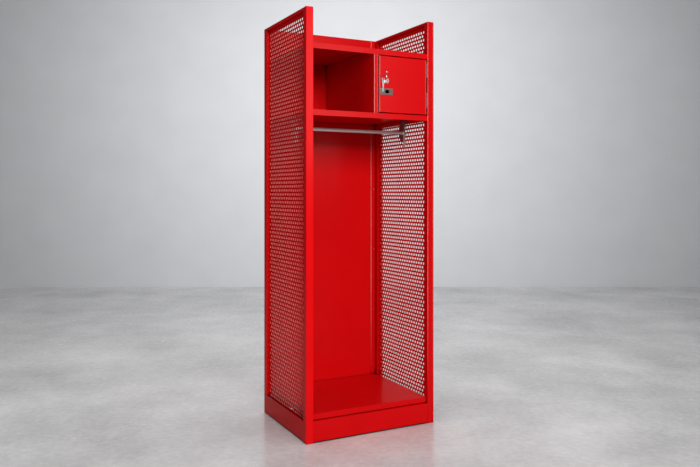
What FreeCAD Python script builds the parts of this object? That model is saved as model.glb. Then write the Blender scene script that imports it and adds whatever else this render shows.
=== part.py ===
import FreeCAD, Part
import Sketcher
import math
import os
import re

# Open steel gear locker: perforated sides, smooth back, three shelves, a coat rod
# and a lockable box beside an open cubby. Millimetres, +Z up, the front faces -Y,
# the origin lies on the floor at the centre of the frame.

SIZES = {
    # frame
    "unit_width": 635.0,
    "unit_depth": 495.0,
    "unit_height": 1829.0,
    "post_width": 32.0,
    "post_depth": 30.0,
    "tube_wall": 1.5,
    "cap_thickness": 1.5,
    "top_rail_height": 12.0,
    "base_height": 90.0,
    "base_lip": 10.0,
    "floor_clearance": 4.0,
    "sheet_gauge": 1.2,
    # perforated side sheets
    "perforation_diameter": 12.0,
    "perforation_pitch": 20.62,
    "perforation_edge": 12.0,
    "perforation_bottom_margin": 16.0,
    "perforation_top_margin": 18.0,
    # adjusting holes in the rear posts
    "adjust_diameter": 5.0,
    "adjust_pitch": 25.4,
    "adjust_first": 140.0,
    "adjust_inset": 8.0,
    # back panel, its lapping strips and rivets
    "back_inset": 8.0,
    "back_clearance": 4.0,
    "strip_width": 26.0,
    "strip_gauge": 1.5,
    "rivet_diameter": 4.8,
    "rivet_head_diameter": 9.0,
    "rivet_head_height": 1.6,
    "rivet_inset": 13.0,
    "rivet_first": 150.0,
    "rivet_count": 6.0,
    # kick plate, and the bar that ties the base rails together
    "tie_bar_width": 40.0,
    "tie_bar_height": 6.0,
    "kick_gap": 3.0,
    "kick_recess": 1.0,
    "kick_fold": 15.0,
    # shelves and their bolts
    "bottom_shelf_top": 118.0,
    "middle_shelf_drop": 429.0,
    "top_shelf_drop": 148.0,
    "shelf_fold": 24.0,
    "shelf_recess": 1.0,
    "bottom_shelf_recess": 12.0,
    "bolt_diameter": 6.0,
    "bolt_head_diameter": 11.0,
    "bolt_head_height": 3.5,
    "bolt_reach": 6.0,
    "bolt_depth_inset": 10.0,
    # divider, door jamb, sill and side sheet of the box
    "divider_place": 7.0,
    "divider_clearance": 0.4,
    "jamb_width": 22.0,
    "jamb_depth": 17.0,
    "jamb_lip": 8.0,
    "sill_height": 12.0,
    "sill_foot": 6.0,
    "side_lap": 6.0,
    "bumper_diameter": 7.0,
    "bumper_gap": 0.3,
    "bumper_inset": 30.0,
    # door and hinges
    "door_gap": 4.5,
    "hinge_gap": 7.0,
    "door_fold": 15.0,
    "hinge_height": 68.0,
    "upper_hinge_inset": 46.5,
    "lower_hinge_inset": 65.0,
    "knuckle_diameter": 6.0,
    "knuckle_gap": 0.3,
    "pin_diameter": 3.0,
    "leaf_gauge": 1.2,
    "leaf_width": 11.5,
    "hinge_rivet_diameter": 4.0,
    "hinge_rivet_head_diameter": 7.0,
    "hinge_rivet_head_height": 1.4,
    "hinge_rivet_inset": 12.0,
    "hinge_rivet_setback": 5.0,
    # lock
    "lock_place": 28.0,
    "lock_drop": 112.5,
    "lock_face_diameter": 16.0,
    "lock_face_height": 3.0,
    "lock_face_chamfer": 1.2,
    "lock_body_diameter": 12.0,
    "lock_body_length": 17.0,
    "lock_nut_size": 17.0,
    "lock_nut_height": 3.0,
    "plug_diameter": 9.0,
    "plug_proud": 0.3,
    "cam_gap": 0.7,
    "cam_gauge": 2.0,
    "cam_width": 12.0,
    "cam_reach": 32.0,
    "cam_screw_diameter": 4.0,
    "cam_screw_depth": 5.0,
    "cam_screw_head_diameter": 8.0,
    "cam_screw_head_height": 2.0,
    # key
    "key_gauge": 1.8,
    "key_blade_height": 6.4,
    "key_blade_length": 12.0,
    "key_shoulder_height": 9.0,
    "key_shoulder_length": 8.0,
    "key_bow_diameter": 21.0,
    "key_bow_hole_diameter": 7.0,
    "key_bow_hole_offset": 4.0,
    # forked pull and its stud
    "pull_place": 15.5,
    "pull_drop": 100.5,
    "pull_standoff": 4.6,
    "pull_gauge": 2.5,
    "pull_bar_diameter": 3.0,
    "pull_width": 13.0,
    "pull_prong": 3.5,
    "pull_crotch": 29.0,
    "pull_neck": 36.0,
    "pull_stem_width": 5.0,
    "pull_tip_width": 6.0,
    "pull_length": 57.0,
    "stud_diameter": 5.0,
    "stud_shank_diameter": 4.0,
    "stud_tail_diameter": 8.0,
    "stud_tail_height": 2.0,
    "stud_nose": 2.5,
    # plate with the finger hole
    "plate_place": 2.5,
    "plate_drop": 156.5,
    "plate_width": 64.0,
    "plate_height": 28.0,
    "plate_gauge": 1.5,
    "finger_place": 36.0,
    "finger_width": 21.0,
    "finger_height": 16.0,
    "plate_screw_diameter": 4.0,
    "plate_screw_head_diameter": 7.0,
    "plate_screw_head_height": 1.5,
    "plate_screw_length": 7.0,
    "plate_screw_inset": 6.0,
    # bright domes above the lock
    "dome_place": 38.5,
    "upper_dome_drop": 69.5,
    "upper_dome_diameter": 10.0,
    "lower_dome_drop": 90.0,
    "lower_dome_diameter": 14.0,
    "dome_shank_diameter": 6.0,
    "dome_shank_length": 5.0,
    # coat rod, brackets, ferrules and screws
    "rod_diameter": 16.0,
    "rod_wall": 1.5,
    "rod_drop": 64.5,
    "rod_setback": 203.5,
    "bracket_gauge": 2.0,
    "bracket_front": 11.0,
    "bracket_rear": 39.5,
    "bracket_drop": 130.0,
    "bracket_taper_drop": 86.0,
    "bracket_foot": 15.0,
    "bracket_foot_height": 20.0,
    "bracket_edge": 8.0,
    "bracket_lift": 1.0,
    "ferrule_diameter": 21.0,
    "ferrule_length": 7.0,
    "ferrule_floor": 2.0,
    "bracket_screw_diameter": 5.0,
    "bracket_screw_head_diameter": 9.0,
    "bracket_screw_head_height": 3.0,
    "bracket_screw_length": 6.0,
    "bracket_screw_inset": 10.0,
    "bracket_screw_setback": 13.0,
    # fits
    "bolt_clearance": 0.05,
    "running_clearance": 0.05,
    "seat_clearance": 0.3,
    "notch_clearance": 1.0,
    "cut_overrun": 2.0,
}

doc = FreeCAD.newDocument("gear_locker")
sheet = doc.addObject("Spreadsheet::Sheet", "Sizes")
for row, (alias, value) in enumerate(SIZES.items(), start=1):
    sheet.set(f"A{row}", alias)
    sheet.set(f"B{row}", str(value))
    sheet.setAlias(f"B{row}", alias)
doc.recompute()

WORD = re.compile(r"[a-z][a-z0-9_]*")
RIGHT_ANGLE = 90.0
START_GUESS = 1.0
SIDES = {"left": -1, "right": 1}
nodes = []

# Places shared by several pieces, as formulas of the sheet's sizes
FRONT = "(-unit_depth / 2)"
REAR = "(unit_depth / 2)"
INNER = "(unit_width / 2 - post_width)"
SHEET_FOOT = "(base_height - base_lip)"
BACK_FACE = f"({REAR} - back_inset)"
STRIP_FACE = f"({BACK_FACE} - strip_gauge)"
TUBE_TOP = "(unit_height - cap_thickness)"
MIDDLE_TOP = "(unit_height - middle_shelf_drop)"
TOP_TOP = "(unit_height - top_shelf_drop)"
SHELF_TOPS = {"bottom": "bottom_shelf_top", "middle": MIDDLE_TOP, "top": TOP_TOP}
BOX_TOP = f"({TOP_TOP} - shelf_fold)"
DOOR_LEFT = "(divider_place + jamb_width + door_gap)"
DOOR_RIGHT = f"({INNER} - hinge_gap)"
DOOR_TOP = f"({BOX_TOP} - door_gap)"
DOOR_BOTTOM = f"({MIDDLE_TOP} + door_gap)"
HINGE_X = f"({INNER} - hinge_gap / 2)"
LEAF_Y = f"({FRONT} + knuckle_diameter / 2 + seat_clearance)"
HINGE_RIVET_Y = f"({LEAF_Y} + hinge_rivet_setback)"
HINGES = {"upper": f"({DOOR_TOP} - upper_hinge_inset)", "lower": f"({DOOR_BOTTOM} + lower_hinge_inset)"}
LOCK_X = f"({DOOR_LEFT} + lock_place)"
LOCK_Z = f"({DOOR_TOP} - lock_drop)"
CAM_Y = f"({FRONT} + jamb_depth + sheet_gauge + cam_gap)"
PULL_X = f"({DOOR_LEFT} + pull_place)"
PULL_Y = f"({FRONT} - pull_standoff)"
PULL_Z = f"({DOOR_TOP} - pull_drop)"
PLATE_X = f"({DOOR_LEFT} + plate_place)"
PLATE_Z = f"({DOOR_TOP} - plate_drop)"
FINGER_X = f"({PLATE_X} + finger_place)"
DOME_X = f"({DOOR_LEFT} + dome_place)"
ROD_Y = f"({FRONT} + rod_setback)"
ROD_Z = f"({MIDDLE_TOP} - rod_drop)"
BRACKET_TOP = f"({MIDDLE_TOP} - sheet_gauge - bracket_lift)"
BRACKET_SCREW_Z = f"({BRACKET_TOP} - bracket_screw_inset)"
BRACKET_SCREW_YS = (f"({ROD_Y} + bracket_screw_setback)",
                    f"({ROD_Y} + bracket_rear - bracket_screw_inset)")


def size(alias):
    """Value of one cell of the sheet."""
    return float(sheet.get(alias))


def formula(text):
    """A formula of size names, with each name pointed at its cell."""
    return WORD.sub(lambda m: f"Sizes.{m.group()}" if m.group() in SIZES else m.group(), text)


def bind(item, path, text):
    item.setExpression(path, formula(text))


def place(item, low):
    for axis, text in zip("xyz", low):
        bind(item, f"Placement.Base.{axis}", text)
    return item


def node(item, label):
    """Marks a finished sub-part, whose label names its file."""
    item.Label = label
    nodes.append(item)
    return item


def box(name, low, extent):
    item = doc.addObject("Part::Box", name)
    for path, text in zip(("Length", "Width", "Height"), extent):
        bind(item, path, text)
    return place(item, low)


TURNS = {
    "z": FreeCAD.Rotation(),
    "x": FreeCAD.Rotation(FreeCAD.Vector(0, 1, 0), RIGHT_ANGLE),
    "-x": FreeCAD.Rotation(FreeCAD.Vector(0, 1, 0), -RIGHT_ANGLE),
    "y": FreeCAD.Rotation(FreeCAD.Vector(1, 0, 0), -RIGHT_ANGLE),
    "-y": FreeCAD.Rotation(FreeCAD.Vector(1, 0, 0), RIGHT_ANGLE),
}


def aim(item, low, axis):
    item.Placement = FreeCAD.Placement(FreeCAD.Vector(), TURNS[axis])
    return place(item, low)


def cylinder(name, start, axis, radius, length):
    item = doc.addObject("Part::Cylinder", name)
    bind(item, "Radius", radius)
    bind(item, "Height", length)
    return aim(item, start, axis)


def cone(name, start, axis, radius, end_radius, length):
    item = doc.addObject("Part::Cone", name)
    bind(item, "Radius1", radius)
    bind(item, "Radius2", end_radius)
    bind(item, "Height", length)
    return aim(item, start, axis)


def group(name, items):
    item = doc.addObject("Part::Compound", name)
    item.Links = items
    return item


def fuse(name, items):
    item = doc.addObject("Part::MultiFuse", name)
    item.Shapes = items
    return item


def cut(name, base, tools):
    item = doc.addObject("Part::Cut", name)
    item.Base = base
    item.Tool = tools[0] if len(tools) == 1 else group(f"{name}_tools", tools)
    return item


def hollow(name, low, extent, wall, open_axis):
    """A box with its inside cut away, open at both ends of one axis."""
    outer = box(f"{name}_outer", low, extent)
    inner_low = []
    inner_extent = []
    for axis, start, length in zip("xyz", low, extent):
        margin = "-cut_overrun" if axis == open_axis else wall
        inner_low.append(f"{start} + {margin}")
        inner_extent.append(f"{length} - 2 * {margin}")
    return cut(name, outer, [box(f"{name}_inner", inner_low, inner_extent)])


def fastener(name, seat, axis, shank, head):
    """A shank behind the seat and a domed head in front of it; axis points out of the head."""
    back = axis[1:] if axis.startswith("-") else f"-{axis}"
    shank_radius, shank_length = shank
    head_radius, head_height = head
    crown_share = "0.7"
    return fuse(name, [
        cylinder(f"{name}_shank", seat, back, shank_radius, shank_length),
        cone(f"{name}_head", seat, axis, head_radius, f"{head_radius} * {crown_share}", head_height),
    ])


def plane_of(body, role):
    return next(item for item in body.Origin.OriginFeatures if item.Role == role)


def new_sketch(body, name, role):
    sketch = body.newObject("Sketcher::SketchObject", name)
    sketch.AttachmentSupport = [(plane_of(body, role), "")]
    sketch.MapMode = "FlatFace"
    return sketch


def pin_point(sketch, geometry, end, point):
    """Ties one point of a sketch to two formulas measured from the sketch's origin."""
    for kind, text in zip(("DistanceX", "DistanceY"), point):
        index = sketch.addConstraint(Sketcher.Constraint(kind, -1, 1, geometry, end, START_GUESS))
        bind(sketch, f"Constraints[{index}]", text)


def outline(sketch, points):
    """A closed run of lines through points given as formulas."""
    count = len(points)
    first = sketch.GeometryCount
    corners = [FreeCAD.Vector(math.cos(math.tau * i / count), math.sin(math.tau * i / count), 0)
               for i in range(count)]
    for i in range(count):
        sketch.addGeometry(Part.LineSegment(corners[i], corners[(i + 1) % count]), False)
    for i in range(count):
        sketch.addConstraint(Sketcher.Constraint("Coincident", first + i, 2, first + (i + 1) % count, 1))
    for i, point in enumerate(points):
        pin_point(sketch, first + i, 1, point)


def round_hole(sketch, centre, radius):
    circle = Part.Circle(FreeCAD.Vector(), FreeCAD.Vector(0, 0, 1), START_GUESS)
    index = sketch.addGeometry(circle, False)
    pin_point(sketch, index, 3, centre)
    round_rule = sketch.addConstraint(Sketcher.Constraint("Radius", index, START_GUESS))
    bind(sketch, f"Constraints[{round_rule}]", radius)


def profile(name, role, points, length, low):
    """A body padded from one closed outline on a plane of its own origin."""
    body = doc.addObject("PartDesign::Body", name)
    sketch = new_sketch(body, f"{name}_outline", role)
    outline(sketch, points)
    pad = body.newObject("PartDesign::Pad", f"{name}_pad")
    pad.Profile = sketch
    bind(pad, "Length", length)
    return place(body, low)


def rectangle(low, high):
    return [(low[0], low[1]), (high[0], low[1]), (high[0], high[1]), (low[0], high[1])]


def shelf_bolt_places(side):
    """Depth of the front and rear bolts, and the heights of the three shelves' bolts."""
    depths = [f"{FRONT} + post_depth - bolt_depth_inset", f"{REAR} - post_depth + bolt_depth_inset"]
    heights = [f"{top} - shelf_fold / 2" for top in SHELF_TOPS.values()]
    wall = f"{INNER}" if side > 0 else f"-{INNER}"
    return depths, heights, wall


def bolt_holes(name, side, depth):
    """Holes for the shelf bolts in the inner wall of one post."""
    _, heights, wall = shelf_bolt_places(side)
    outward = "x" if side > 0 else "-x"
    overrun = "- cut_overrun" if side > 0 else "+ cut_overrun"
    return [cylinder(f"{name}_bolt_hole_{i}", (f"{wall} {overrun}", depth, height), outward,
                     "bolt_diameter / 2 + bolt_clearance", "tube_wall + 2 * cut_overrun")
            for i, height in enumerate(heights)]


def hinge_rivet_places(centre):
    offset = "(hinge_height / 2 - hinge_rivet_inset)"
    return [f"{centre} - {offset}", f"{centre} + {offset}"]


def hinge_rivet_holes(name, start_x, wall):
    """Holes through one upright wall for the rivets of both hinges."""
    return [cylinder(f"{name}_{tag}_rivet_hole_{i}", (start_x, HINGE_RIVET_Y, z), "x",
                     "hinge_rivet_diameter / 2 + bolt_clearance", f"{wall} + 2 * cut_overrun")
            for tag, centre in HINGES.items() for i, z in enumerate(hinge_rivet_places(centre))]


def make_front_post(name, side, low_x):
    depths, _, _ = shelf_bolt_places(side)
    extent = ("post_width", "post_depth", TUBE_TOP)
    tube = hollow(f"{name}_tube", (low_x, FRONT, "0"), extent, "tube_wall", "z")
    holes = bolt_holes(name, side, depths[0])
    if side > 0:
        holes += hinge_rivet_holes(name, f"{INNER} - cut_overrun", "tube_wall")
    node(cut(name, tube, holes), name)


def make_rear_post(name, side, low_x):
    """A tube with two columns of adjusting holes in the face that looks forward."""
    depths, _, _ = shelf_bolt_places(side)
    body = doc.addObject("PartDesign::Body", f"{name}_body")
    section = new_sketch(body, f"{name}_section", "XY_Plane")
    outline(section, rectangle(("0", "0"), ("post_width", "post_depth")))
    inside = ("post_width - tube_wall", "post_depth - tube_wall")
    outline(section, rectangle(("tube_wall", "tube_wall"), inside))
    pad = body.newObject("PartDesign::Pad", f"{name}_pad")
    pad.Profile = section
    bind(pad, "Length", TUBE_TOP)
    holes = new_sketch(body, f"{name}_holes", "XZ_Plane")
    for across in ("adjust_inset", "post_width - adjust_inset"):
        round_hole(holes, (across, "adjust_first"), "adjust_diameter / 2")
    doc.recompute()
    solid_volume = body.Shape.Volume
    pocket = body.newObject("PartDesign::Pocket", f"{name}_pocket")
    pocket.Profile = holes
    bind(pocket, "Length", "tube_wall")
    doc.recompute()
    pocket.Reversed = body.Shape.Volume > solid_volume - size("adjust_diameter")
    pattern = body.newObject("PartDesign::LinearPattern", f"{name}_column")
    pattern.Originals = [pocket]
    pattern.Direction = (holes, ["V_Axis"])
    gaps = f"floor(({TUBE_TOP} - 2 * adjust_first) / adjust_pitch)"
    bind(pattern, "Length", f"adjust_pitch * {gaps}")
    bind(pattern, "Occurrences", f"{gaps} + 1")
    body.Tip = pattern
    place(body, (low_x, f"{REAR} - post_depth", "0"))
    node(cut(name, body, bolt_holes(name, side, depths[1])), name)


def make_top_rail(name, low_x):
    low = (low_x, f"{FRONT} + post_depth", "unit_height - top_rail_height")
    extent = ("post_width", "unit_depth - 2 * post_depth", "top_rail_height")
    node(hollow(name, low, extent, "tube_wall", "y"), name)


def make_base_rail(name, side, low_x):
    """A tube clear of the floor, its outer wall raised as a lip in front of the sheet."""
    low = (low_x, f"{FRONT} + post_depth", "floor_clearance")
    length = "unit_depth - 2 * post_depth"
    tube_extent = ("post_width", length, f"{SHEET_FOOT} - floor_clearance")
    tube = hollow(f"{name}_tube", low, tube_extent, "tube_wall", "y")
    lip_x = f"{low_x} + post_width - tube_wall" if side > 0 else low_x
    lip_extent = ("tube_wall", length, "base_height - floor_clearance")
    lip = box(f"{name}_lip", (lip_x, low[1], "floor_clearance"), lip_extent)
    node(fuse(name, [tube, lip]), name)


def line(start, end):
    return Part.LineSegment(start, end).toShape()


def perforated_shape():
    """The holed sheet, standing on z = 0, centred on y = 0, its left face at x = 0.

    The sheet is one solid. Its two flat sides are divided into level bands between rows of holes."""
    height = size("unit_height") - size("top_rail_height") - size("base_height") + size("base_lip")
    half = size("unit_depth") / 2 - size("post_depth")
    pitch = size("perforation_pitch")
    row_pitch = pitch * math.sqrt(3) / 2
    edge = size("perforation_edge")
    first_z = size("perforation_bottom_margin")
    columns = int((2 * half - 2 * edge - pitch / 2) / pitch) + 1
    rows = int((height - first_z - size("perforation_top_margin")) / row_pitch) + 1
    first_y = -((columns - 1) * pitch + pitch / 2) / 2
    rows_per_band = 4
    levels = [first_z + (row - 0.5) * row_pitch for row in range(rows_per_band, rows, rows_per_band)]
    levels = [0.0] + levels + [height]
    rungs = [line(FreeCAD.Vector(0, -half, z), FreeCAD.Vector(0, half, z)) for z in levels]
    bands = []
    for band in range(len(levels) - 1):
        low, high = levels[band], levels[band + 1]
        sides = [line(FreeCAD.Vector(0, y, low), FreeCAD.Vector(0, y, high)) for y in (-half, half)]
        wires = [Part.Wire(Part.__sortEdges__([rungs[band], sides[1], rungs[band + 1], sides[0]]))]
        for row in range(band * rows_per_band, min(rows, (band + 1) * rows_per_band)):
            stagger = pitch / 2 if row % 2 else 0.0
            for column in range(columns):
                centre = FreeCAD.Vector(0, first_y + column * pitch + stagger, first_z + row * row_pitch)
                circle = Part.Circle(centre, FreeCAD.Vector(-1, 0, 0), size("perforation_diameter") / 2)
                wires.append(Part.Wire(circle.toShape()))
        bands.append(Part.Face(wires))
    prism = Part.Shell(bands).extrude(FreeCAD.Vector(size("sheet_gauge"), 0, 0))
    nearly_zero = 1e-6
    skin = [face for face in prism.Faces
            if face.BoundBox.ZLength > nearly_zero
            or not any(abs(face.BoundBox.ZMin - z) < nearly_zero for z in levels[1:-1])]
    return Part.Solid(Part.Shell(skin))


def make_perforated_panels():
    sheet_shape = perforated_shape()
    for name, side in SIDES.items():
        panel = doc.addObject("Part::Feature", f"{name}_perforated_panel")
        panel.Shape = sheet_shape
        middle = side * (size("unit_width") - size("post_width")) / 2
        low = FreeCAD.Vector(middle - size("sheet_gauge") / 2, 0, size("base_height") - size("base_lip"))
        panel.Placement = FreeCAD.Placement(low, FreeCAD.Rotation())
        node(panel, panel.Name)


def make_side_frames():
    for name, side in SIDES.items():
        low_x = INNER if side > 0 else "-unit_width / 2"
        make_front_post(f"{name}_front_post", side, low_x)
        make_rear_post(f"{name}_rear_post", side, low_x)
        make_top_rail(f"{name}_top_rail", low_x)
        make_base_rail(f"{name}_base_rail", side, low_x)
    make_perforated_panels()


def make_post_caps():
    caps = []
    for low_x in ("-unit_width / 2", INNER):
        for low_y in (FRONT, f"{REAR} - post_depth"):
            extent = ("post_width", "post_depth", "cap_thickness")
            caps.append(box(f"cap_{len(caps)}", (low_x, low_y, TUBE_TOP), extent))
    node(group("post_caps", caps), "post_caps")


def rivet_places():
    """Across and height of each rivet of the back panel."""
    count = int(size("rivet_count"))
    across = (f"-{INNER} + rivet_inset", f"{INNER} - rivet_inset")
    pitch = "(unit_height - 2 * rivet_first) / (rivet_count - 1)"
    return [(x, f"rivet_first + {i} * {pitch}") for x in across for i in range(count)]


def rivet_holes(name, places):
    start = f"{STRIP_FACE} - cut_overrun"
    length = "strip_gauge + sheet_gauge + 2 * cut_overrun"
    return [cylinder(f"{name}_hole_{i}", (x, start, z), "y", "rivet_diameter / 2 + bolt_clearance", length)
            for i, (x, z) in enumerate(places)]


def make_back():
    places = rivet_places()
    half = len(places) // 2
    low = (f"-{INNER}", BACK_FACE, "back_clearance")
    sheet_box = box("back_sheet", low, (f"2 * {INNER}", "sheet_gauge", "unit_height - back_clearance"))
    node(cut("back_panel", sheet_box, rivet_holes("back_panel", places)), "back_panel")
    for name, side in SIDES.items():
        low_x = f"{INNER} - strip_width" if side > 0 else f"-{INNER}"
        bar = box(f"{name}_strip_bar", (low_x, STRIP_FACE, "back_clearance"),
                  ("strip_width", "strip_gauge", "unit_height - back_clearance"))
        own = places[half:] if side > 0 else places[:half]
        node(cut(f"{name}_back_strip", bar, rivet_holes(f"{name}_strip", own)), f"{name}_back_strip")
    rivets = [fastener(f"back_rivet_{i}", (x, f"{BACK_FACE} + sheet_gauge", z), "y",
                       ("rivet_diameter / 2", "strip_gauge + sheet_gauge"),
                       ("rivet_head_diameter / 2", "rivet_head_height"))
              for i, (x, z) in enumerate(places)]
    node(group("back_panel_rivets", rivets), "back_panel_rivets")


def make_kick_plate():
    """A folded channel between the front posts, clear of the floor and of the bottom shelf."""
    low, high = "floor_clearance", "(bottom_shelf_top - shelf_fold - kick_gap)"
    face, back = f"{FRONT} + kick_recess", f"{FRONT} + kick_recess + kick_fold"
    skin = f"{face} + sheet_gauge"
    points = [(face, low), (back, low), (back, f"{low} + sheet_gauge"), (skin, f"{low} + sheet_gauge"),
              (skin, f"{high} - sheet_gauge"), (back, f"{high} - sheet_gauge"), (back, high), (face, high)]
    plate = profile("front_kick_plate", "YZ_Plane", points, f"2 * {INNER}", (f"-{INNER}", "0", "0"))
    node(plate, "front_kick_plate")


def make_tie_bar():
    """A flat bar on the floor, across the unit from one base rail to the other."""
    low = (f"-{INNER}", "-tie_bar_width / 2", "0")
    node(box("base_tie_bar", low, (f"2 * {INNER}", "tie_bar_width", "tie_bar_height")), "base_tie_bar")


def bracket_screw_holes(side_name, side):
    """Holes in one side fold of the middle shelf for the screws of a rod bracket."""
    start_x = f"{INNER} - sheet_gauge - cut_overrun" if side > 0 else f"-{INNER} - cut_overrun"
    return [cylinder(f"shelf_{side_name}_bracket_hole_{i}", (start_x, y, BRACKET_SCREW_Z), "x",
                     "bracket_screw_diameter / 2 + bolt_clearance", "sheet_gauge + 2 * cut_overrun")
            for i, y in enumerate(BRACKET_SCREW_YS)]


def make_shelf(shelf, recess):
    """A tray turned over: a level sheet with its four edges folded down."""
    name = f"{shelf}_shelf"
    top = SHELF_TOPS[shelf]
    low = (f"-{INNER}", f"{FRONT} + {recess}", f"{top} - shelf_fold")
    extent = (f"2 * {INNER}", f"{STRIP_FACE} - {FRONT} - {recess}", "shelf_fold")
    blank = box(f"{name}_blank", low, extent)
    inside_low = (f"{low[0]} + sheet_gauge", f"{low[1]} + sheet_gauge", f"{low[2]} - sheet_gauge")
    inside_extent = (f"{extent[0]} - 2 * sheet_gauge", f"{extent[1]} - 2 * sheet_gauge", "shelf_fold")
    tools = [box(f"{name}_inside", inside_low, inside_extent)]
    bolts = []
    for side_name, side in SIDES.items():
        depths, _, wall = shelf_bolt_places(side)
        away = "-" if side > 0 else "+"
        inward = "-x" if side > 0 else "x"
        for i, depth in enumerate(depths):
            height = f"{top} - shelf_fold / 2"
            tag = f"{name}_{side_name}_{i}"
            start = (f"{wall} {away} (-cut_overrun)", depth, height)
            tools.append(cylinder(f"{tag}_hole", start, inward, "bolt_diameter / 2 + bolt_clearance",
                                  "sheet_gauge + 2 * cut_overrun"))
            seat = (f"{wall} {away} sheet_gauge", depth, height)
            bolts.append(fastener(f"{tag}_bolt", seat, inward,
                                  ("bolt_diameter / 2", "sheet_gauge + tube_wall + bolt_reach"),
                                  ("bolt_head_diameter / 2", "bolt_head_height")))
        if shelf == "middle":
            tools += bracket_screw_holes(side_name, side)
    node(cut(name, blank, tools), name)
    return bolts


def make_shelves():
    bolts = make_shelf("top", "shelf_recess")
    bolts += make_shelf("middle", "shelf_recess")
    bolts += make_shelf("bottom", "bottom_shelf_recess")
    node(group("shelf_bolts", bolts), "shelf_bolts")


def make_divider():
    """The sheet between the cubby and the box, notched under the folds of the top shelf."""
    jamb_back = f"({FRONT} + jamb_depth + sheet_gauge)"
    low = ("divider_place", f"{FRONT} + shelf_recess + sheet_gauge", MIDDLE_TOP)
    extent = ("sheet_gauge", f"{BACK_FACE} - {FRONT} - shelf_recess - sheet_gauge",
              f"{TOP_TOP} - sheet_gauge - {MIDDLE_TOP}")
    blank = box("divider_blank", low, extent)
    notch_low = f"{BOX_TOP} - divider_clearance"
    notch_height = "shelf_fold + cut_overrun"
    notch_width = "sheet_gauge + 2 * cut_overrun"
    rear_notch = f"{STRIP_FACE} - sheet_gauge - divider_clearance"
    notches = [
        box("divider_front_notch", ("divider_place - cut_overrun", f"{FRONT} - cut_overrun", notch_low),
            (notch_width, "shelf_recess + sheet_gauge + divider_clearance + cut_overrun", notch_height)),
        box("divider_rear_notch", ("divider_place - cut_overrun", rear_notch, notch_low),
            (notch_width, f"{BACK_FACE} - {rear_notch} + cut_overrun", notch_height)),
    ]
    node(cut("box_divider", blank, notches), "box_divider")
    face, skin = f"{FRONT} + shelf_recess", f"{FRONT} + shelf_recess + sheet_gauge"
    left, turn = "divider_place", "divider_place + jamb_width"
    lip_face = f"{FRONT} + jamb_depth"
    lip = f"{turn} + jamb_lip"
    inside = f"{turn} - sheet_gauge"
    points = [(left, face), (turn, face), (turn, lip_face), (lip, lip_face), (lip, jamb_back),
              (inside, jamb_back), (inside, skin), (left, skin)]
    height = f"{BOX_TOP} - {MIDDLE_TOP}"
    node(profile("door_jamb", "XY_Plane", points, height, ("0", "0", MIDDLE_TOP)), "door_jamb")
    make_sill(lip, lip_face)
    bumpers = []
    centre_x = f"{DOOR_LEFT} + sheet_gauge / 2"
    for i, z in enumerate((f"{DOOR_BOTTOM} + bumper_inset", f"{DOOR_TOP} - bumper_inset")):
        bumpers.append(cylinder(f"bumper_{i}", (centre_x, lip_face, z), "-y", "bumper_diameter / 2",
                                "jamb_depth - door_fold - bumper_gap"))
    node(group("door_bumpers", bumpers), "door_bumpers")


def make_sill(left, face):
    """An angle on the middle shelf that closes the slot behind the lower edge of the door."""
    skin, foot = f"{face} + sheet_gauge", f"{face} + sill_foot"
    points = [(face, "0"), (foot, "0"), (foot, "sheet_gauge"), (skin, "sheet_gauge"),
              (skin, "sill_height"), (face, "sill_height")]
    sill = profile("door_sill", "YZ_Plane", points, f"{INNER} - ({left})", (left, "0", MIDDLE_TOP))
    node(sill, "door_sill")


def make_box_side():
    """A solid sheet between the right-hand posts, lapped on both shelves, that closes the box."""
    low = (INNER, f"{FRONT} + post_depth", f"{MIDDLE_TOP} - side_lap")
    extent = ("sheet_gauge", "unit_depth - 2 * post_depth", f"{BOX_TOP} - {MIDDLE_TOP} + 2 * side_lap")
    node(box("box_side_sheet", low, extent), "box_side_sheet")


def make_hinge_leaf(name, centre, side, ranges):
    """One leaf: a flat plate and its share of the knuckles round the pin.

    side is 1 for the leaf on the post and -1 for the leaf on the door."""
    wall = INNER if side > 0 else DOOR_RIGHT
    low_x = f"{wall} - leaf_gauge" if side > 0 else wall
    pieces = [box(f"{name}_plate", (low_x, LEAF_Y, f"{centre} - hinge_height / 2"),
                  ("leaf_gauge", "leaf_width", "hinge_height"))]
    for i, (low, high) in enumerate(ranges):
        pieces.append(cylinder(f"{name}_knuckle_{i}", (HINGE_X, FRONT, f"{centre} + {low}"), "z",
                               "knuckle_diameter / 2", f"{high} - ({low})"))
        pieces.append(box(f"{name}_tab_{i}", (low_x, FRONT, f"{centre} + {low}"),
                          ("leaf_gauge", "knuckle_diameter / 2 + 2 * seat_clearance", f"{high} - ({low})")))
    bore = cylinder(f"{name}_bore", (HINGE_X, FRONT, f"{centre} - hinge_height"), "z",
                    "pin_diameter / 2 + running_clearance", "2 * hinge_height")
    tools = [bore]
    for i, z in enumerate(hinge_rivet_places(centre)):
        tools.append(cylinder(f"{name}_rivet_hole_{i}", (f"{low_x} - cut_overrun", HINGE_RIVET_Y, z), "x",
                              "hinge_rivet_diameter / 2 + bolt_clearance", "leaf_gauge + 2 * cut_overrun"))
    node(cut(name, fuse(f"{name}_blank", pieces), tools), name)


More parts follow.
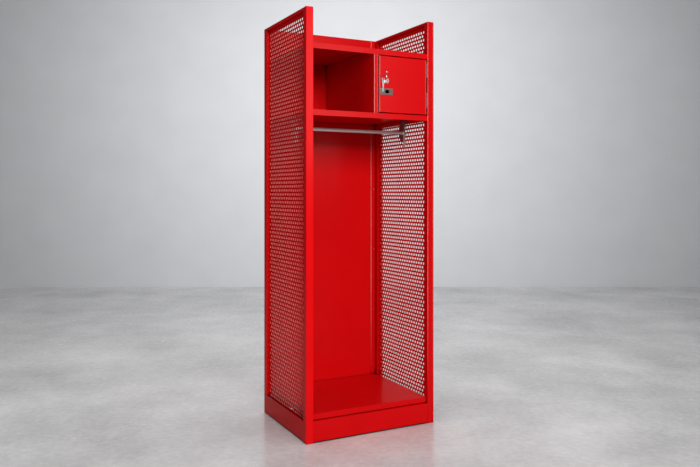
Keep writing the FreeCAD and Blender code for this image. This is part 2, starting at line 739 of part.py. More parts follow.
def make_hinges():
    half, third = "hinge_height / 2", "hinge_height / 6"
    post_rivets = []
    door_rivets = []
    for tag, centre in HINGES.items():
        outer_knuckles = [(f"-{half}", f"-{third} - knuckle_gap / 2"), (f"{third} + knuckle_gap / 2", half)]
        middle_knuckle = [(f"-{third} + knuckle_gap / 2", f"{third} - knuckle_gap / 2")]
        make_hinge_leaf(f"{tag}_hinge_post_leaf", centre, 1, outer_knuckles)
        make_hinge_leaf(f"{tag}_hinge_door_leaf", centre, -1, middle_knuckle)
        pin_low = (HINGE_X, FRONT, f"{centre} - {half}")
        pin = cylinder(f"{tag}_hinge_pin", pin_low, "z", "pin_diameter / 2", "hinge_height")
        node(pin, f"{tag}_hinge_pin")
        head = ("hinge_rivet_head_diameter / 2", "hinge_rivet_head_height")
        for i, z in enumerate(hinge_rivet_places(centre)):
            post_seat = (f"{INNER} + tube_wall", HINGE_RIVET_Y, z)
            post_rivets.append(fastener(f"{tag}_post_rivet_{i}", post_seat, "x",
                                        ("hinge_rivet_diameter / 2", "tube_wall + leaf_gauge"), head))
            door_seat = (f"{DOOR_RIGHT} - sheet_gauge", HINGE_RIVET_Y, z)
            door_rivets.append(fastener(f"{tag}_door_rivet_{i}", door_seat, "-x",
                                        ("hinge_rivet_diameter / 2", "sheet_gauge + leaf_gauge"), head))
    node(group("hinge_post_rivets", post_rivets), "hinge_post_rivets")
    node(group("hinge_door_rivets", door_rivets), "hinge_door_rivets")


def finger_hole(name, front, length):
    """A level slot with round ends, running back from front."""
    radius = "finger_height / 2"
    reach = "(finger_width - finger_height)"
    middle = box(f"{name}_middle", (f"{FINGER_X} - {reach} / 2", front, f"{PLATE_Z} - {radius}"),
                 (reach, length, "finger_height"))
    ends = [cylinder(f"{name}_end_{i}", (f"{FINGER_X} {sign} {reach} / 2", front, PLATE_Z), "y",
                     radius, length)
            for i, sign in enumerate("-+")]
    return fuse(name, [middle] + ends)


def plate_screw_places():
    x = f"{PLATE_X} + plate_width - plate_screw_inset"
    offset = "(plate_height / 2 - plate_screw_inset)"
    return [(x, f"{PLATE_Z} - {offset}"), (x, f"{PLATE_Z} + {offset}")]


def dome_heights():
    return {"upper": f"{DOOR_TOP} - upper_dome_drop", "lower": f"{DOOR_TOP} - lower_dome_drop"}


def make_door():
    """A front sheet with its four edges folded back, open behind."""
    low = (DOOR_LEFT, FRONT, DOOR_BOTTOM)
    extent = (f"{DOOR_RIGHT} - {DOOR_LEFT}", "door_fold", f"{DOOR_TOP} - {DOOR_BOTTOM}")
    blank = box("door_blank", low, extent)
    inside_low = [f"{start} + sheet_gauge" for start in low]
    inside = box("door_inside", inside_low,
                 (f"{extent[0]} - 2 * sheet_gauge", "door_fold", f"{extent[2]} - 2 * sheet_gauge"))
    start = f"{FRONT} - cut_overrun"
    through = "sheet_gauge + 2 * cut_overrun"
    tools = [inside, finger_hole("door_finger_hole", start, through)]
    round_holes = [(LOCK_X, LOCK_Z, "lock_body_diameter"), (PULL_X, PULL_Z, "stud_shank_diameter")]
    round_holes += [(DOME_X, z, "dome_shank_diameter") for z in dome_heights().values()]
    round_holes += [(x, z, "plate_screw_diameter") for x, z in plate_screw_places()]
    for i, (x, z, diameter) in enumerate(round_holes):
        tools.append(cylinder(f"door_hole_{i}", (x, start, z), "y",
                              f"{diameter} / 2 + bolt_clearance", through))
    tools += hinge_rivet_holes("door", f"{DOOR_RIGHT} - sheet_gauge - cut_overrun", "sheet_gauge")
    node(cut("box_door", blank, tools), "box_door")


def make_lock():
    at_front = (LOCK_X, FRONT, LOCK_Z)
    housing = fuse("lock_housing", [
        cone("lock_face", at_front, "-y", "lock_face_diameter / 2",
             "lock_face_diameter / 2 - lock_face_chamfer", "lock_face_height"),
        cylinder("lock_body", at_front, "y", "lock_body_diameter / 2", "lock_body_length"),
    ])
    bore_start = (LOCK_X, f"{FRONT} - lock_face_height - cut_overrun", LOCK_Z)
    bore = cylinder("lock_bore", bore_start, "y", "plug_diameter / 2 + running_clearance",
                    "lock_face_height + lock_body_length + 2 * cut_overrun")
    node(cut("lock_cylinder", housing, [bore]), "lock_cylinder")

    corner = "lock_nut_size / 2 / cos(30)"
    flat = "lock_nut_size / 2"
    hexagon = [(f"-{corner}", "0"), (f"-{corner} / 2", f"-{flat}"), (f"{corner} / 2", f"-{flat}"),
               (corner, "0"), (f"{corner} / 2", flat), (f"-{corner} / 2", flat)]
    nut_rear = f"{FRONT} + sheet_gauge + lock_nut_height"
    nut = profile("lock_nut_blank", "XZ_Plane", hexagon, "lock_nut_height", (LOCK_X, nut_rear, LOCK_Z))
    nut_bore = cylinder("lock_nut_bore", at_front, "y",
                        "lock_body_diameter / 2 + bolt_clearance", "lock_body_length")
    node(cut("lock_nut", nut, [nut_bore]), "lock_nut")

    plug_front = f"({FRONT} - lock_face_height - plug_proud)"
    plug = cylinder("lock_plug_blank", (LOCK_X, plug_front, LOCK_Z), "y",
                    "plug_diameter / 2", f"{CAM_Y} - {plug_front}")
    keyway_width = "(key_gauge + 2 * bolt_clearance)"
    keyway_height = "(key_blade_height + 2 * bolt_clearance)"
    keyway_low = (f"{LOCK_X} - {keyway_width} / 2", f"{plug_front} - cut_overrun",
                  f"{LOCK_Z} - {keyway_height} / 2")
    keyway = box("keyway", keyway_low,
                 (keyway_width, "key_blade_length + bolt_clearance + cut_overrun", keyway_height))
    screw_hole = cylinder("plug_screw_hole", (LOCK_X, f"{CAM_Y} + cut_overrun", LOCK_Z), "-y",
                          "cam_screw_diameter / 2 + bolt_clearance",
                          "cam_screw_depth + bolt_clearance + cut_overrun")
    node(cut("lock_plug", plug, [keyway, screw_hole]), "lock_plug")

    arm = box("cam_arm", (f"{LOCK_X} - cam_width / 2", CAM_Y, f"{LOCK_Z} - cam_reach"),
              ("cam_width", "cam_gauge", "cam_reach"))
    eye = cylinder("cam_eye", (LOCK_X, CAM_Y, LOCK_Z), "y", "cam_width / 2", "cam_gauge")
    cam_hole = cylinder("cam_hole", (LOCK_X, f"{CAM_Y} - cut_overrun", LOCK_Z), "y",
                        "cam_screw_diameter / 2 + bolt_clearance", "cam_gauge + 2 * cut_overrun")
    node(cut("lock_cam", fuse("cam_blank", [arm, eye]), [cam_hole]), "lock_cam")
    screw = fastener("cam_screw", (LOCK_X, f"{CAM_Y} + cam_gauge", LOCK_Z), "y",
                     ("cam_screw_diameter / 2", "cam_gauge + cam_screw_depth"),
                     ("cam_screw_head_diameter / 2", "cam_screw_head_height"))
    node(screw, "cam_screw")
    make_key(plug_front)


def make_key(plug_front):
    """A flat key in the plug, with a round bow that stands out from the door."""
    low_x = f"{LOCK_X} - key_gauge / 2"
    shoulder_y = f"({plug_front} - key_shoulder_length)"
    bow_y = f"({shoulder_y} - key_bow_diameter / 2 + seat_clearance)"
    blade = box("key_blade", (low_x, plug_front, f"{LOCK_Z} - key_blade_height / 2"),
                ("key_gauge", "key_blade_length", "key_blade_height"))
    shoulder = box("key_shoulder", (low_x, shoulder_y, f"{LOCK_Z} - key_shoulder_height / 2"),
                   ("key_gauge", "key_shoulder_length", "key_shoulder_height"))
    bow = cylinder("key_bow", (low_x, bow_y, LOCK_Z), "x", "key_bow_diameter / 2", "key_gauge")
    hole_low = (f"{low_x} - cut_overrun", f"{bow_y} - key_bow_hole_offset", LOCK_Z)
    hole = cylinder("key_bow_hole", hole_low, "x", "key_bow_hole_diameter / 2",
                    "key_gauge + 2 * cut_overrun")
    node(cut("key", fuse("key_blank", [blade, shoulder, bow]), [hole]), "key")


def make_pull():
    """A fork that hangs by a round bar in the cross hole of its stud."""
    half = "pull_width / 2"
    prong = f"{half} - pull_prong"
    stem, tip = "pull_stem_width / 2", "pull_tip_width / 2"
    points = [(f"-{half}", "0"), (f"-{stem}", "-pull_neck"), (f"-{tip}", "-pull_length"),
              (tip, "-pull_length"), (stem, "-pull_neck"), (half, "0"), (prong, "0"),
              ("0", "-pull_crotch"), (f"-({prong})", "0")]
    fork_low = (PULL_X, f"{PULL_Y} + pull_gauge / 2", PULL_Z)
    fork = profile("pull_fork", "XZ_Plane", points, "pull_gauge", fork_low)
    bar_low = (f"{PULL_X} - {half}", PULL_Y, PULL_Z)
    bar = cylinder("pull_bar", bar_low, "x", "pull_bar_diameter / 2", "pull_width")
    node(fuse("door_pull", [fork, bar]), "door_pull")
    at_front = (PULL_X, FRONT, PULL_Z)
    post = fuse("stud_blank", [
        cylinder("stud_post", at_front, "-y", "stud_diameter / 2", "pull_standoff + stud_nose"),
        cylinder("stud_shank", at_front, "y", "stud_shank_diameter / 2", "sheet_gauge"),
        cylinder("stud_tail", (PULL_X, f"{FRONT} + sheet_gauge", PULL_Z), "y",
                 "stud_tail_diameter / 2", "stud_tail_height"),
    ])
    eye = cylinder("stud_eye", (f"{PULL_X} - stud_diameter", PULL_Y, PULL_Z), "x",
                   "pull_bar_diameter / 2 + running_clearance", "2 * stud_diameter")
    node(cut("pull_stud", post, [eye]), "pull_stud")


def make_pull_plate():
    start = f"{FRONT} - plate_gauge - cut_overrun"
    through = "plate_gauge + 2 * cut_overrun"
    blank = box("plate_blank", (PLATE_X, f"{FRONT} - plate_gauge", f"{PLATE_Z} - plate_height / 2"),
                ("plate_width", "plate_gauge", "plate_height"))
    tools = [finger_hole("plate_finger_hole", start, through)]
    screws = []
    for i, (x, z) in enumerate(plate_screw_places()):
        tools.append(cylinder(f"plate_screw_hole_{i}", (x, start, z), "y",
                              "plate_screw_diameter / 2 + bolt_clearance", through))
        screws.append(fastener(f"plate_screw_{i}", (x, f"{FRONT} - plate_gauge", z), "-y",
                               ("plate_screw_diameter / 2", "plate_screw_length"),
                               ("plate_screw_head_diameter / 2", "plate_screw_head_height")))
    node(cut("pull_plate", blank, tools), "pull_plate")
    node(group("pull_plate_screws", screws), "pull_plate_screws")


def make_domes():
    """Low bright domes, each the cap of a sphere above its 45 degree parallel."""
    for tag, z in dome_heights().items():
        radius = f"{tag}_dome_diameter / 2"
        cap = doc.addObject("Part::Sphere", f"{tag}_dome_cap")
        bind(cap, "Radius", f"{radius} / cos(45)")
        cap.Angle1 = RIGHT_ANGLE / 2
        aim(cap, (DOME_X, f"{FRONT} + {radius}", z), "-y")
        shank = cylinder(f"{tag}_dome_shank", (DOME_X, FRONT, z), "y",
                         "dome_shank_diameter / 2", "dome_shank_length")
        node(fuse(f"{tag}_dome", [cap, shank]), f"{tag}_dome")


def make_rod():
    """The coat rod between two plates that hang from the side folds of the middle shelf."""
    wall = f"({INNER} - sheet_gauge)"
    plate_face = f"({wall} - bracket_gauge)"
    cup_floor = f"({plate_face} - ferrule_floor)"
    tube = cylinder("rod_tube", (f"-{cup_floor}", ROD_Y, ROD_Z), "x", "rod_diameter / 2", f"2 * {cup_floor}")
    bore = cylinder("rod_bore", (f"-{cup_floor} - cut_overrun", ROD_Y, ROD_Z), "x",
                    "rod_diameter / 2 - rod_wall", f"2 * ({cup_floor} + cut_overrun)")
    node(cut("coat_rod", tube, [bore]), "coat_rod")
    front, rear = f"{ROD_Y} - bracket_front", f"{ROD_Y} + bracket_rear"
    bottom = f"{BRACKET_TOP} - bracket_drop"
    taper = f"{BRACKET_TOP} - bracket_taper_drop"
    heel = f"{front} + bracket_foot"
    points = [(front, bottom), (heel, bottom), (heel, f"{bottom} + bracket_foot_height"), (rear, taper),
              (rear, BRACKET_TOP), (front, BRACKET_TOP)]
    notch = "(ferrule_diameter / 2 + notch_clearance)"
    ferrules = []
    screws = []
    for name, side in SIDES.items():
        low_x = plate_face if side > 0 else f"-{wall}"
        edge_x = f"{plate_face} - bracket_edge" if side > 0 else f"-{plate_face}"
        plate = profile(f"{name}_bracket_plate", "YZ_Plane", points, "bracket_gauge", (low_x, "0", "0"))
        edge_gauge = ("bracket_edge", "bracket_gauge")
        edges = [
            box(f"{name}_bracket_low_edge", (edge_x, front, bottom),
                (*edge_gauge, f"{ROD_Z} - {notch} - ({bottom})")),
            box(f"{name}_bracket_high_edge", (edge_x, front, f"{ROD_Z} + {notch}"),
                (*edge_gauge, f"{BRACKET_TOP} - {ROD_Z} - {notch}")),
        ]
        blank = fuse(f"{name}_bracket_blank", [plate] + edges)
        inward = "-x" if side > 0 else "x"
        outer = f"{wall} + cut_overrun" if side > 0 else f"-{wall} - cut_overrun"
        holes = []
        seat_x = plate_face if side > 0 else f"-{plate_face}"
        for i, y in enumerate(BRACKET_SCREW_YS):
            holes.append(cylinder(f"{name}_bracket_hole_{i}", (outer, y, BRACKET_SCREW_Z), inward,
                                  "bracket_screw_diameter / 2 + bolt_clearance",
                                  "bracket_gauge + 2 * cut_overrun"))
            screws.append(fastener(f"{name}_bracket_screw_{i}", (seat_x, y, BRACKET_SCREW_Z), inward,
                                   ("bracket_screw_diameter / 2", "bracket_screw_length"),
                                   ("bracket_screw_head_diameter / 2", "bracket_screw_head_height")))
        node(cut(f"{name}_rod_bracket", blank, holes), f"{name}_rod_bracket")
        cup = cylinder(f"{name}_ferrule_cup", (seat_x, ROD_Y, ROD_Z), inward,
                       "ferrule_diameter / 2", "ferrule_length")
        floor_x = cup_floor if side > 0 else f"-{cup_floor}"
        socket = cylinder(f"{name}_ferrule_socket", (floor_x, ROD_Y, ROD_Z), inward,
                          "rod_diameter / 2 + running_clearance", "ferrule_length")
        ferrules.append(cut(f"{name}_ferrule", cup, [socket]))
    node(group("rod_ferrules", ferrules), "rod_ferrules")
    node(group("rod_bracket_screws", screws), "rod_bracket_screws")


make_side_frames()
make_post_caps()
make_back()
make_kick_plate()
make_tie_bar()
make_shelves()
make_divider()
make_box_side()
make_door()
make_hinges()
make_lock()
make_pull()
make_pull_plate()
make_domes()
make_rod()
doc.recompute()

faults = [item.Name for item in doc.Objects if "Invalid" in item.State or "Error" in item.State]
faults += [f"{item.Label} shape" for item in nodes if item.Shape.isNull() or not item.Shape.isValid()]
if faults:
    raise RuntimeError(f"these did not build: {faults}")

os.makedirs("parts", exist_ok=True)
for item in nodes:
    item.Shape.exportStep(f"parts/{item.Label}.step")
    print(item.Label, len(item.Shape.Solids), round(item.Shape.Volume, 1))
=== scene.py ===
import math

import bpy
from mathutils import Matrix, Vector

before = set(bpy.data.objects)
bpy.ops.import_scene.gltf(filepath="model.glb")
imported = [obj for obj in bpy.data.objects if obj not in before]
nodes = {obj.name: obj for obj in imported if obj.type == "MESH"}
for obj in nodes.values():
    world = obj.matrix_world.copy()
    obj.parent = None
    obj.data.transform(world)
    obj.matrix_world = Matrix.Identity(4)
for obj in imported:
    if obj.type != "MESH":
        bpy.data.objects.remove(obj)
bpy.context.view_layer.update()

scene = bpy.context.scene

# Node helpers: patterns lie on object coordinates, and lengths are in metres

EVEN = (1, 1, 1)
NOISE_LOW = 0.3
NOISE_HIGH = 0.7


def new_material(name):
    material = bpy.data.materials.new(name)
    material.use_nodes = True
    tree = material.node_tree
    shader = tree.nodes["Principled BSDF"]
    return material, tree, shader


def coordinates(tree, scale=EVEN):
    place = tree.nodes.new("ShaderNodeTexCoord")
    mapping = tree.nodes.new("ShaderNodeMapping")
    mapping.inputs["Scale"].default_value = scale
    tree.links.new(place.outputs["Object"], mapping.inputs["Vector"])
    return mapping.outputs["Vector"]


def component(tree, vector, axis):
    split = tree.nodes.new("ShaderNodeSeparateXYZ")
    tree.links.new(vector, split.inputs["Vector"])
    return split.outputs[axis]


def noise(tree, vector, scale, detail, roughness=0.5):
    texture = tree.nodes.new("ShaderNodeTexNoise")
    texture.inputs["Scale"].default_value = scale
    texture.inputs["Detail"].default_value = detail
    texture.inputs["Roughness"].default_value = roughness
    tree.links.new(vector, texture.inputs["Vector"])
    return texture.outputs["Fac"]


def remapped(tree, value, from_low, from_high, low, high):
    """Stretches one range of values to another, and holds the result at both ends."""
    remap = tree.nodes.new("ShaderNodeMapRange")
    remap.inputs["From Min"].default_value = from_low
    remap.inputs["From Max"].default_value = from_high
    remap.inputs["To Min"].default_value = low
    remap.inputs["To Max"].default_value = high
    tree.links.new(value, remap.inputs["Value"])
    return remap.outputs["Result"]


def spread(tree, value, low, high):
    """Maps the middle of a noise to the range low to high."""
    return remapped(tree, value, NOISE_LOW, NOISE_HIGH, low, high)


def computed(tree, operation, values):
    node = tree.nodes.new("ShaderNodeMath")
    node.operation = operation
    for value, socket in zip(values, node.inputs):
        tree.links.new(value, socket)
    return node.outputs["Value"]


def blend(tree, factor, first, second):
    """Mixes two colours, each of them a constant or the output of a node."""
    mix = tree.nodes.new("ShaderNodeMix")
    mix.data_type = "RGBA"
    tree.links.new(factor, mix.inputs["Factor"])
    for colour, socket in ((first, mix.inputs["A"]), (second, mix.inputs["B"])):
        if isinstance(colour, tuple):
            socket.default_value = colour
        else:
            tree.links.new(colour, socket)
    return mix.outputs["Result"]


def bump(tree, shader, height, strength, distance):
    relief = tree.nodes.new("ShaderNodeBump")
    relief.inputs["Strength"].default_value = strength
    relief.inputs["Distance"].default_value = distance
    tree.links.new(height, relief.inputs["Height"])
    tree.links.new(relief.outputs["Normal"], shader.inputs["Normal"])


def toned(tree, shader, pattern, light, dark, smoothest, roughest):
    """Lets one pattern drive both the colour and the roughness."""
    tone = spread(tree, pattern, 0, 1)
    tree.links.new(blend(tree, tone, dark, light), shader.inputs["Base Color"])
    tree.links.new(spread(tree, pattern, smoothest, roughest), shader.inputs["Roughness"])


# Powder coat

COAT_LIGHT = (0.635, 0.003, 0.0045, 1)
COAT_DARK = (0.605, 0.0026, 0.0038, 1)
# painted highlight: the pale colour at left edges of folded sheet
COAT_PAINTED_HIGHLIGHT = (0.92, 0.56, 0.52, 1)
# painted highlight: the pale colour on the walls of the holes in punched sheet
COAT_RIM_HIGHLIGHT = (0.88, 0.38, 0.35, 1)
COAT_SMOOTHEST = 0.23
COAT_ROUGHEST = 0.255
COAT_SPECULAR = 0.06
RIPPLE_STRENGTH = 0.003
RIPPLE_DEPTH = 0.0004

PROBE_SAMPLES = 8
# Painted shade: the dark colour for narrow gaps and right edges, and how closed a gap must be to darken
PAINTED_SHADE_COLOUR = (0.02, 0.0008, 0.0008, 1)
GAP_REACH = 0.03
GAP_CLOSED = 0.25
GAP_OPEN = 0.6

EDGE_REACH = 0.006
# Painted highlight at left edges: how far an edge must lean, its share, and the heights where it fades in
HIGHLIGHT_LEAN_LEAST = 0.3
HIGHLIGHT_LEAN_FULL = 0.7
HIGHLIGHT_SHARE = 0.8
HIGHLIGHT_HEIGHT_LEAST = 0.15
HIGHLIGHT_HEIGHT_FULL = 0.6
# Painted shade at right-hand edges, beside the gaps there
EDGE_SHADE_LEAN_LEAST = -0.2
EDGE_SHADE_LEAN_FULL = -0.6
EDGE_SHADE_SHARE = 0.9


def painted_gap_shade(tree, colour):
    """Paints shade into the coat deep in narrow gaps: darker where little light reaches."""
    nook = tree.nodes.new("ShaderNodeAmbientOcclusion")
    nook.samples = PROBE_SAMPLES
    nook.inputs["Distance"].default_value = GAP_REACH
    openness = remapped(tree, nook.outputs["AO"], GAP_CLOSED, GAP_OPEN, 0, 1)
    return blend(tree, openness, PAINTED_SHADE_COLOUR, colour)


def painted(name, gaps=True):
    """Baked powder coat: a faint cloudiness of colour and the fine ripple of the skin, with painted shade in
    narrow gaps unless gaps is off.
    """
    material, tree, shader = new_material(name)
    vector = coordinates(tree)
    cloud = noise(tree, vector, scale=7, detail=5)
    colour = blend(tree, spread(tree, cloud, 0, 1), COAT_DARK, COAT_LIGHT)
    # painted shade: the coat darkens in narrow gaps, where shade falls
    if gaps:
        colour = painted_gap_shade(tree, colour)
    tree.links.new(colour, shader.inputs["Base Color"])
    haze = noise(tree, vector, scale=60, detail=4)
    tree.links.new(spread(tree, haze, COAT_SMOOTHEST, COAT_ROUGHEST), shader.inputs["Roughness"])
    shader.inputs["Specular IOR Level"].default_value = COAT_SPECULAR
    ripple = noise(tree, vector, scale=260, detail=2)
    bump(tree, shader, ripple, RIPPLE_STRENGTH, RIPPLE_DEPTH)
    return material, tree, shader, colour


def edge_lean(tree):
    """Sideways turn of the surface at an edge: above 0 on a front by its left edge, below 0 by its right."""
    rounded = tree.nodes.new("ShaderNodeBevel")
    rounded.samples = PROBE_SAMPLES
    rounded.inputs["Radius"].default_value = EDGE_REACH
    geometry = tree.nodes.new("ShaderNodeNewGeometry")
    lean = tree.nodes.new("ShaderNodeVectorMath")
    lean.operation = "SUBTRACT"
    tree.links.new(geometry.outputs["True Normal"], lean.inputs[0])
    tree.links.new(rounded.outputs["Normal"], lean.inputs[1])
    local = tree.nodes.new("ShaderNodeVectorTransform")
    local.vector_type = "VECTOR"
    local.convert_from = "WORLD"
    local.convert_to = "OBJECT"
    tree.links.new(lean.outputs["Vector"], local.inputs["Vector"])
    return component(tree, local.outputs["Vector"], "X")


def folded(name, right_edge_shade):
    """The coat on folded sheet: a painted highlight at left edges above the floor, and painted shade at
    right edges.
    """
    material, tree, shader, colour = painted(name)
    lean = edge_lean(tree)
    # painted highlight: the coat turns pale by left-hand edges
    left_edge_highlight = remapped(tree, lean, HIGHLIGHT_LEAN_LEAST, HIGHLIGHT_LEAN_FULL, 0, HIGHLIGHT_SHARE)
    height = component(tree, coordinates(tree), "Z")
    highlight_by_height = remapped(tree, height, HIGHLIGHT_HEIGHT_LEAST, HIGHLIGHT_HEIGHT_FULL, 0, 1)
    painted_highlight = computed(tree, "MULTIPLY", (left_edge_highlight, highlight_by_height))
    highlighted_colour = blend(tree, painted_highlight, colour, COAT_PAINTED_HIGHLIGHT)
    # painted shade: the coat turns dark by right-hand edges
    edge_shade_mask = remapped(tree, lean, EDGE_SHADE_LEAN_LEAST, EDGE_SHADE_LEAN_FULL, 0, right_edge_shade)
    tree.links.new(blend(tree, edge_shade_mask, highlighted_colour, PAINTED_SHADE_COLOUR), shader.inputs["Base Color"])
    return material


def perforated(name):
    """The coat on punched sheet, with a painted highlight: paler on the walls of the holes."""
    material, tree, shader, colour = painted(name, gaps=False)
    geometry = tree.nodes.new("ShaderNodeNewGeometry")
    sideways = component(tree, geometry.outputs["True Normal"], "X")
    flatness = computed(tree, "ABSOLUTE", (sideways,))
    tree.links.new(blend(tree, flatness, COAT_RIM_HIGHLIGHT, colour), shader.inputs["Base Color"])
    return material


red = painted("red_coat")[0]
red_folded = folded("red_folded", right_edge_shade=0)
red_edge_shaded = folded("red_edge_shaded", right_edge_shade=EDGE_SHADE_SHARE)
punched = perforated("red_punched")

# Bare metal, rubber and the slab of the floor


def brushed(name, light, dark, stretch, smoothest, roughest, metallic=1):
    """Steel with fine scratches drawn along one axis."""
    material, tree, shader = new_material(name)
    streak = noise(tree, coordinates(tree, stretch), scale=40, detail=8, roughness=0.65)
    toned(tree, shader, streak, light, dark, smoothest, roughest)
    shader.inputs["Metallic"].default_value = metallic
    bump(tree, shader, streak, strength=0.05, distance=0.0002)
    return material


def polished(name, light, dark, smoothest, roughest, metallic=1):
    """Bright plating with faint handling haze."""
    material, tree, shader = new_material(name)
    haze = noise(tree, coordinates(tree), scale=240, detail=5)
    toned(tree, shader, haze, light, dark, smoothest, roughest)
    shader.inputs["Metallic"].default_value = metallic
    return material


def matte(name, light, dark, smoothest, roughest, grain):
    """Dull stuff with an even grain."""
    material, tree, shader = new_material(name)
    speck = noise(tree, coordinates(tree), scale=grain, detail=6)
    toned(tree, shader, speck, light, dark, smoothest, roughest)
    bump(tree, shader, speck, strength=0.1, distance=0.0005)
    return material


def concrete(name, light, dark, smoothest, roughest, cloud_share):
    """Ground and sealed slab: broad clouds, small mottling and fine grit."""
    material, tree, shader = new_material(name)
    vector = coordinates(tree)
    clouds = noise(tree, vector, scale=1.4, detail=7, roughness=0.62)
    mottle = noise(tree, vector, scale=34, detail=6, roughness=0.65)
    broad = spread(tree, clouds, 0, cloud_share)
    small = spread(tree, mottle, 0, 1 - cloud_share)
    tone = computed(tree, "ADD", (broad, small))
    tree.links.new(blend(tree, tone, dark, light), shader.inputs["Base Color"])
    tree.links.new(spread(tree, mottle, smoothest, roughest), shader.inputs["Roughness"])
    grit = noise(tree, vector, scale=120, detail=6)
    bump(tree, shader, grit, strength=0.1, distance=0.0004)
    return material


ALONG_ROD = (1, 30, 30)
ALONG_PLATE = (2, 30, 30)
UPRIGHT = (20, 20, 2)

rod_steel = brushed(
    "rod_steel", light=(0.63, 0.72, 0.72, 1), dark=(0.48, 0.55, 0.55, 1),
    stretch=ALONG_ROD, smoothest=0.14, roughest=0.28, metallic=0.5)
plate_steel = brushed(
    "plate_steel", light=(0.42, 0.42, 0.40, 1), dark=(0.28, 0.28, 0.26, 1),
    stretch=ALONG_PLATE, smoothest=0.28, roughest=0.42)
zinc = brushed(
    "zinc_steel", light=(0.21, 0.17, 0.165, 1), dark=(0.12, 0.095, 0.09, 1),
    stretch=UPRIGHT, smoothest=0.36, roughest=0.50)
bracket_steel = brushed(
    "bracket_steel", light=(0.44, 0.37, 0.36, 1), dark=(0.30, 0.25, 0.24, 1),
    stretch=UPRIGHT, smoothest=0.39, roughest=0.53, metallic=0.8)
dome_steel = polished(
    "dome_steel", light=(0.42, 0.48, 0.49, 1), dark=(0.30, 0.35, 0.36, 1),
    smoothest=0.18, roughest=0.28)
bright = polished(
    "bright_plating", light=(0.88, 0.91, 0.92, 1), dark=(0.76, 0.79, 0.80, 1),
    smoothest=0.2, roughest=0.3, metallic=0.5)
rubber = matte(
    "rubber", light=(0.035, 0.035, 0.035, 1), dark=(0.02, 0.02, 0.02, 1),
    smoothest=0.7, roughest=0.8, grain=500)

# Dressing of the pieces: what isn't named here has the plain red coat

PUNCHED = {"left_perforated_panel", "right_perforated_panel"}
COATS = (
    (rod_steel, {"coat_rod"}),
    (plate_steel, {"pull_plate", "pull_plate_screws"}),
    (bright, {"key", "lock_cylinder", "lock_plug", "door_pull", "rod_ferrules"}),
    (dome_steel, {"upper_dome", "lower_dome"}),
    (zinc, {"pull_stud", "lock_nut", "lock_cam", "cam_screw", "rod_bracket_screws"}),
    (zinc, {"hinge_post_rivets", "hinge_door_rivets", "upper_hinge_pin", "lower_hinge_pin"}),
    (zinc, {"upper_hinge_post_leaf", "lower_hinge_post_leaf"}),
    (zinc, {"upper_hinge_door_leaf", "lower_hinge_door_leaf"}),
    (bracket_steel, {"left_rod_bracket", "right_rod_bracket"}),
    (rubber, {"door_bumpers"}),
    # the punched and folded coats carry painted highlights, and the edge-shaded coat also painted shade
    (punched, PUNCHED),
    (red_folded, {"box_door", "right_front_post"}),
    (red_edge_shaded, {"door_jamb", "right_back_strip"}),
)
coat_of = {name: coat for coat, names in COATS for name in names}
SHEET_COATS = (red, red_folded, red_edge_shaded)

WELD_REACH = 0.00002
FLAT_ANGLE = math.radians(0.3)
EDGE_ANGLE = math.radians(35)
EDGE_SEGMENTS = 3
SHEET_ROUNDING = 0.0014
FITTING_ROUNDING = 0.0003
SHARP = {"base_tie_bar"} | PUNCHED


def round_edges(part, width):
    """Joins the triangles of flat faces, then rounds the edges between the faces."""
    weld = part.modifiers.new("weld", "WELD")
    weld.merge_threshold = WELD_REACH
    flats = part.modifiers.new("flats", "DECIMATE")
    flats.decimate_type = "DISSOLVE"
    flats.angle_limit = FLAT_ANGLE
    edge = part.modifiers.new("edge", "BEVEL")
    edge.width = width
    edge.segments = EDGE_SEGMENTS
    edge.limit_method = "ANGLE"
    edge.angle_limit = EDGE_ANGLE
    edge.harden_normals = True
    edge.use_clamp_overlap = True


KICKED = {"left_front_post", "left_rear_post", "left_top_rail"} | PUNCHED
coated = bpy.data.collections.new("coated")
subject = bpy.data.collections.new("subject")
kicked = bpy.data.collections.new("kicked")
room = bpy.data.collections.new("room")
behind = bpy.data.collections.new("behind")

for name, part in nodes.items():
    coat = coat_of.get(name, red)
    part.data.materials.clear()
    part.data.materials.append(coat)
    subject.objects.link(part)
    if name in KICKED:
        kicked.objects.link(part)
    if coat in SHEET_COATS or coat == punched:
        coated.objects.link(part)
    if name not in SHARP:
        round_edges(part, SHEET_ROUNDING if coat in SHEET_COATS else FITTING_ROUNDING)

# Stage: a pale floor and a plain backdrop square to the view

CAMERA_YAW = math.radians(27.33)
CAMERA_PLACE = Vector((-1.525, -2.981, 1.052))
AHEAD = Vector((math.sin(CAMERA_YAW), math.cos(CAMERA_YAW), 0))
QUARTER_TURN = math.radians(90)
FLOOR_HALF = 9
FLOOR_LEVEL = -0.0005
WALL_AWAY = 7.95
WALL_HALF_WIDTH = 4.6
WALL_HALF_HEIGHT = 7
WALL_MIDDLE = 6.9


def slab(name, half_x, half_y, turn, place, material):
    mesh = bpy.data.meshes.new(name)
    corners = [(-half_x, -half_y, 0), (half_x, -half_y, 0), (half_x, half_y, 0), (-half_x, half_y, 0)]
    mesh.from_pydata(corners, [], [(0, 1, 2, 3)])
    piece = bpy.data.objects.new(name, mesh)
    piece.matrix_world = Matrix.Translation(place) @ turn
    piece.data.materials.append(material)
    scene.collection.objects.link(piece)
    return piece


floor_coat = concrete(
    "pale_floor", light=(0.95, 0.945, 0.945, 1), dark=(0.46, 0.457, 0.457, 1),
    smoothest=0.14, roughest=0.28, cloud_share=0.72)
wall_coat = matte(
    "pale_wall", light=(0.67, 0.675, 0.69, 1), dark=(0.64, 0.645, 0.66, 1),
    smoothest=0.75, roughest=0.85, grain=3)

floor_turn = Matrix.Rotation(-CAMERA_YAW, 4, "Z")
floor_place = Vector((0, 0, FLOOR_LEVEL))
floor = slab("floor", FLOOR_HALF, FLOOR_HALF, floor_turn, floor_place, floor_coat)
room.objects.link(floor)

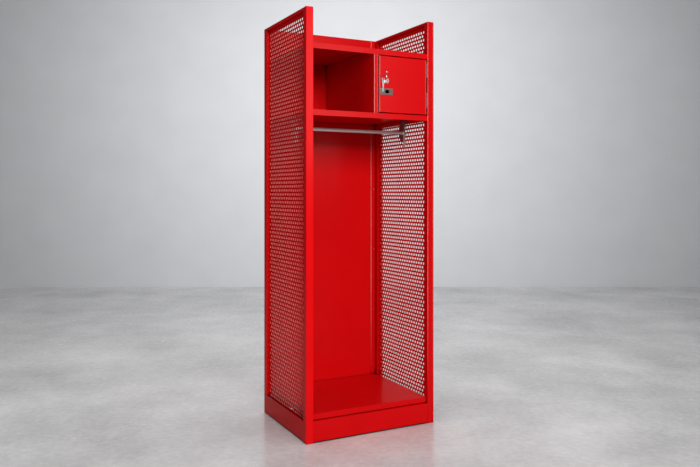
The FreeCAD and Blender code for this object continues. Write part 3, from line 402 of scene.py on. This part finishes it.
wall_turn = floor_turn @ Matrix.Rotation(QUARTER_TURN, 4, "X")
wall_foot = CAMERA_PLACE + AHEAD * WALL_AWAY
wall_place = Vector((wall_foot.x, wall_foot.y, WALL_MIDDLE))
backdrop = slab("backdrop", WALL_HALF_WIDTH, WALL_HALF_HEIGHT, wall_turn, wall_place, wall_coat)
room.objects.link(backdrop)
behind.objects.link(backdrop)

# Light: a frontal key, a high and a left fill, a sheen from the right and a kicker on the locker,
# then a wash over the floor and backdrop and a glow on the backdrop

WHITE = (1, 1, 1)
WARM = (1, 0.99, 0.98)
COOL = (0.97, 0.99, 1)
FAINT_COOL = (0.98, 0.99, 1)
WASH_AWAY = 3.2
WASH_HEIGHT = 5
GLOW_BEFORE_WALL = 4
GLOW_HEIGHT = 2.3
GLOW_TARGET_HEIGHT = 2.25
SURROUND_COLOUR = (0.93, 0.95, 1, 1)
SURROUND_STRENGTH = 0.07


def area_light(name, place, target, width, height, power, colour, receivers=None):
    """A rectangle of light that faces the target, and reaches only the receivers where they are given."""
    data = bpy.data.lights.new(name, "AREA")
    data.shape = "RECTANGLE"
    data.size = width
    data.size_y = height
    data.energy = power
    data.color = colour
    lamp = bpy.data.objects.new(name, data)
    lamp.location = place
    lamp.rotation_mode = "QUATERNION"
    lamp.rotation_quaternion = (Vector(target) - Vector(place)).to_track_quat("-Z", "Y")
    scene.collection.objects.link(lamp)
    if receivers is not None:
        lamp.light_linking.receiver_collection = receivers
    return lamp


area_light(
    "key", place=(-0.5, -5.0, 2.75), target=(0, 0, 0.95),
    width=2.4, height=1.8, power=228, colour=WARM, receivers=subject)
area_light(
    "overhead", place=(-0.4, -2.2, 4.6), target=(-0.4, -1.4, 0),
    width=3, height=3, power=40, colour=WHITE)
area_light(
    "left_fill", place=(-4.0, -1.6, 1.8), target=(-0.3, 0, 0.9),
    width=1.0, height=2.0, power=18, colour=COOL, receivers=subject)
right_sheen = area_light(
    "right_sheen", place=(1.3, -3.9, 2.1), target=(-0.2, -0.25, 1.4),
    width=1.2, height=1.4, power=38, colour=WHITE, receivers=coated)
right_sheen.visible_diffuse = False
area_light(
    "kicker", place=(-1.0, -3.2, 1.3), target=(-0.3, -0.2, 1.0),
    width=0.8, height=1.6, power=28, colour=WARM, receivers=kicked)

wash_foot = CAMERA_PLACE + AHEAD * WASH_AWAY
area_light(
    "wash", place=(wash_foot.x, wash_foot.y, WASH_HEIGHT), target=(wash_foot.x, wash_foot.y, 0),
    width=5, height=5, power=185, colour=WHITE, receivers=room)

glow_foot = wall_foot - AHEAD * GLOW_BEFORE_WALL
glow_target = (glow_foot.x + AHEAD.x, glow_foot.y + AHEAD.y, GLOW_TARGET_HEIGHT)
area_light(
    "wall_glow", place=(glow_foot.x, glow_foot.y, GLOW_HEIGHT), target=glow_target,
    width=2, height=0.8, power=128, colour=FAINT_COOL, receivers=behind)

world = bpy.data.worlds.new("surround")
scene.world = world
world.use_nodes = True
surround = world.node_tree.nodes["Background"]
surround.inputs["Color"].default_value = SURROUND_COLOUR
surround.inputs["Strength"].default_value = SURROUND_STRENGTH

# Camera: level, and turned to the left front corner of the locker

camera_data = bpy.data.cameras.new("camera")
camera_data.sensor_width = 36
camera_data.lens = 36.82
camera_data.shift_y = -0.059
camera_data.dof.use_dof = False
camera_data.clip_end = 60
camera = bpy.data.objects.new("camera", camera_data)
camera.location = CAMERA_PLACE
camera.rotation_euler = (QUARTER_TURN, 0, -CAMERA_YAW)
scene.collection.objects.link(camera)
scene.camera = camera

scene.view_settings.view_transform = "Standard"
